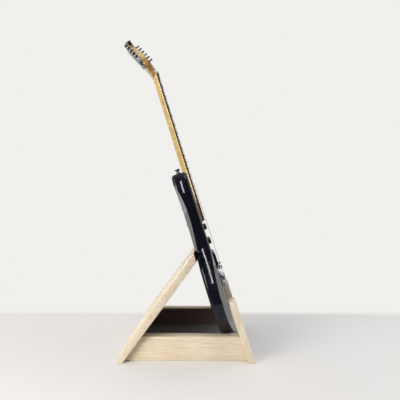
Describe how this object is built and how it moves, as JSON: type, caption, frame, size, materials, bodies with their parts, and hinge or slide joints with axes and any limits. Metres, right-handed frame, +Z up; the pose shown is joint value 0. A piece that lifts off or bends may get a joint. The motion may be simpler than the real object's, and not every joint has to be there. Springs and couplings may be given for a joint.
{
  "type": "electric guitar on stand",
  "caption": "Solid-body electric guitar with a dark gloss body and amber neck, leaning back in a plain wooden stand with felt-lined tray and padded back rest.",
  "frame": {"origin": "middle of the base panel's underside, on the floor", "axes": "+X the way the guitar faces, +Y to its treble side, +Z up"},
  "size_m": [0.386, 0.3219, 0.9426],
  "materials": {
    "pine": "sanded, unfinished",
    "leather": "smooth",
    "steel": "satin",
    "felt": "felted",
    "body_lacquer": "gloss lacquer",
    "maple": "gloss amber lacquer",
    "head_face": "gloss lacquer",
    "rosewood": "oiled",
    "nickel": "polished",
    "pearl": "gloss",
    "bone": "gloss",
    "string_steel": "wound and plain",
    "chrome": "polished",
    "black_plastic": "gloss"
  },
  "bodies": {
    "stand": {"stand_left_rail": "pine", "stand_right_rail": "pine", "stand_back_board": "pine", "stand_back_pad": "leather", "stand_left_upright": "pine", "stand_right_upright": "pine", "stand_screws": "steel", "stand_base_panel": "pine", "stand_base_felt": "felt", "stand_rail_felts": "felt", "stand_upright_felts": "felt"},
    "guitar": {"body": "body_lacquer", "neck": "maple", "truss_rod": "steel", "headstock_veneer": "head_face", "fretboard": "rosewood", "frets": "nickel", "position_dots": "pearl", "string_nut": "bone", "strings": "string_steel", "neck_plate": "chrome", "neck_screws": "chrome", "tuner_bushings": "chrome", "tuner_housings": "chrome", "pickup_neck": "black_plastic", "pickup_middle": "black_plastic", "pickup_bridge": "black_plastic", "pickup_ring": "black_plastic", "pickup_pole_pieces": "nickel", "bridge_plate": "chrome", "bridge_saddles": "chrome", "saddle_height_screws": "steel", "intonation_screws": "steel", "bridge_screws": "chrome", "potentiometers": "steel", "jack_plate": "chrome", "output_jack": "steel", "control_nuts": "chrome", "selector_switch": "steel", "control_cover": "black_plastic", "small_screws": "chrome", "strap_buttons": "chrome", "strap_button_screws": "chrome"},
    "volume": {"volume_knob": "chrome", "volume_shaft": "steel"},
    "tone": {"tone_knob": "chrome", "tone_shaft": "steel"},
    "selector": {"selector_lever": "chrome"},
    "post_1": {"tuner_post_1": "chrome"},
    "button_1": {"tuner_button_1": "chrome"},
    "post_2": {"tuner_post_2": "chrome"},
    "button_2": {"tuner_button_2": "chrome"},
    "post_3": {"tuner_post_3": "chrome"},
    "button_3": {"tuner_button_3": "chrome"},
    "post_4": {"tuner_post_4": "chrome"},
    "button_4": {"tuner_button_4": "chrome"},
    "post_5": {"tuner_post_5": "chrome"},
    "button_5": {"tuner_button_5": "chrome"},
    "post_6": {"tuner_post_6": "chrome"},
    "button_6": {"tuner_button_6": "chrome"}
  },
  "joints": [
    {"name": "guitar_lift", "type": "slide", "parent": "stand", "child": "guitar", "axis": [-0.304, 0, 0.9527], "range_m": [0, 0.33]},
    {"name": "volume_turn", "type": "hinge", "parent": "guitar", "child": "volume", "pos_m": [0.08887, 0.058, 0.20246], "axis": [0.9527, 0, 0.304], "range_deg": [-140, 140]},
    {"name": "tone_turn", "type": "hinge", "parent": "guitar", "child": "tone", "pos_m": [0.09981, 0.08, 0.16817], "axis": [0.9527, 0, 0.304], "range_deg": [-140, 140]},
    {"name": "selector_swing", "type": "hinge", "parent": "guitar", "child": "selector", "pos_m": [0.07431, 0.104, 0.20202], "axis": [0, 1, 0], "range_deg": [-16, 16]},
    {"name": "tuner_1_turn", "type": "hinge", "parent": "guitar", "child": "button_1", "pos_m": [-0.14125, -0.02097, 0.82903], "axis": [-0.293, -0.8682, 0.4004], "continuous": true},
    {"name": "tuner_1_post", "type": "hinge", "parent": "guitar", "child": "post_1", "pos_m": [-0.13369, -0.024, 0.828], "axis": [0.807, 0, 0.5906], "continuous": true},
    {"name": "tuner_2_turn", "type": "hinge", "parent": "guitar", "child": "button_2", "pos_m": [-0.15159, -0.01097, 0.84315], "axis": [-0.293, -0.8682, 0.4004], "continuous": true},
    {"name": "tuner_2_post", "type": "hinge", "parent": "guitar", "child": "post_2", "pos_m": [-0.14402, -0.014, 0.84213], "axis": [0.807, 0, 0.5906], "continuous": true},
    {"name": "tuner_3_turn", "type": "hinge", "parent": "guitar", "child": "button_3", "pos_m": [-0.16193, -0.00097, 0.85727], "axis": [-0.293, -0.8682, 0.4004], "continuous": true},
    {"name": "tuner_3_post", "type": "hinge", "parent": "guitar", "child": "post_3", "pos_m": [-0.15436, -0.004, 0.85625], "axis": [0.807, 0, 0.5906], "continuous": true},
    {"name": "tuner_4_turn", "type": "hinge", "parent": "guitar", "child": "button_4", "pos_m": [-0.17226, 0.00903, 0.87139], "axis": [-0.293, -0.8682, 0.4004], "continuous": true},
    {"name": "tuner_4_post", "type": "hinge", "parent": "guitar", "child": "post_4", "pos_m": [-0.16469, 0.006, 0.87037], "axis": [0.807, 0, 0.5906], "continuous": true},
    {"name": "tuner_5_turn", "type": "hinge", "parent": "guitar", "child": "button_5", "pos_m": [-0.1826, 0.01903, 0.88552], "axis": [-0.293, -0.8682, 0.4004], "continuous": true},
    {"name": "tuner_5_post", "type": "hinge", "parent": "guitar", "child": "post_5", "pos_m": [-0.17503, 0.016, 0.88449], "axis": [0.807, 0, 0.5906], "continuous": true},
    {"name": "tuner_6_turn", "type": "hinge", "parent": "guitar", "child": "button_6", "pos_m": [-0.19293, 0.02903, 0.89964], "axis": [-0.293, -0.8682, 0.4004], "continuous": true},
    {"name": "tuner_6_post", "type": "hinge", "parent": "guitar", "child": "post_6", "pos_m": [-0.18537, 0.026, 0.89861], "axis": [0.807, 0, 0.5906], "continuous": true}
  ],
  "couplings": [
    {"joint": "tuner_1_post", "follows": "tuner_1_turn", "ratio": 0.066667},
    {"joint": "tuner_2_post", "follows": "tuner_2_turn", "ratio": 0.066667},
    {"joint": "tuner_3_post", "follows": "tuner_3_turn", "ratio": 0.066667},
    {"joint": "tuner_4_post", "follows": "tuner_4_turn", "ratio": 0.066667},
    {"joint": "tuner_5_post", "follows": "tuner_5_turn", "ratio": 0.066667},
    {"joint": "tuner_6_post", "follows": "tuner_6_turn", "ratio": 0.066667}
  ]
}
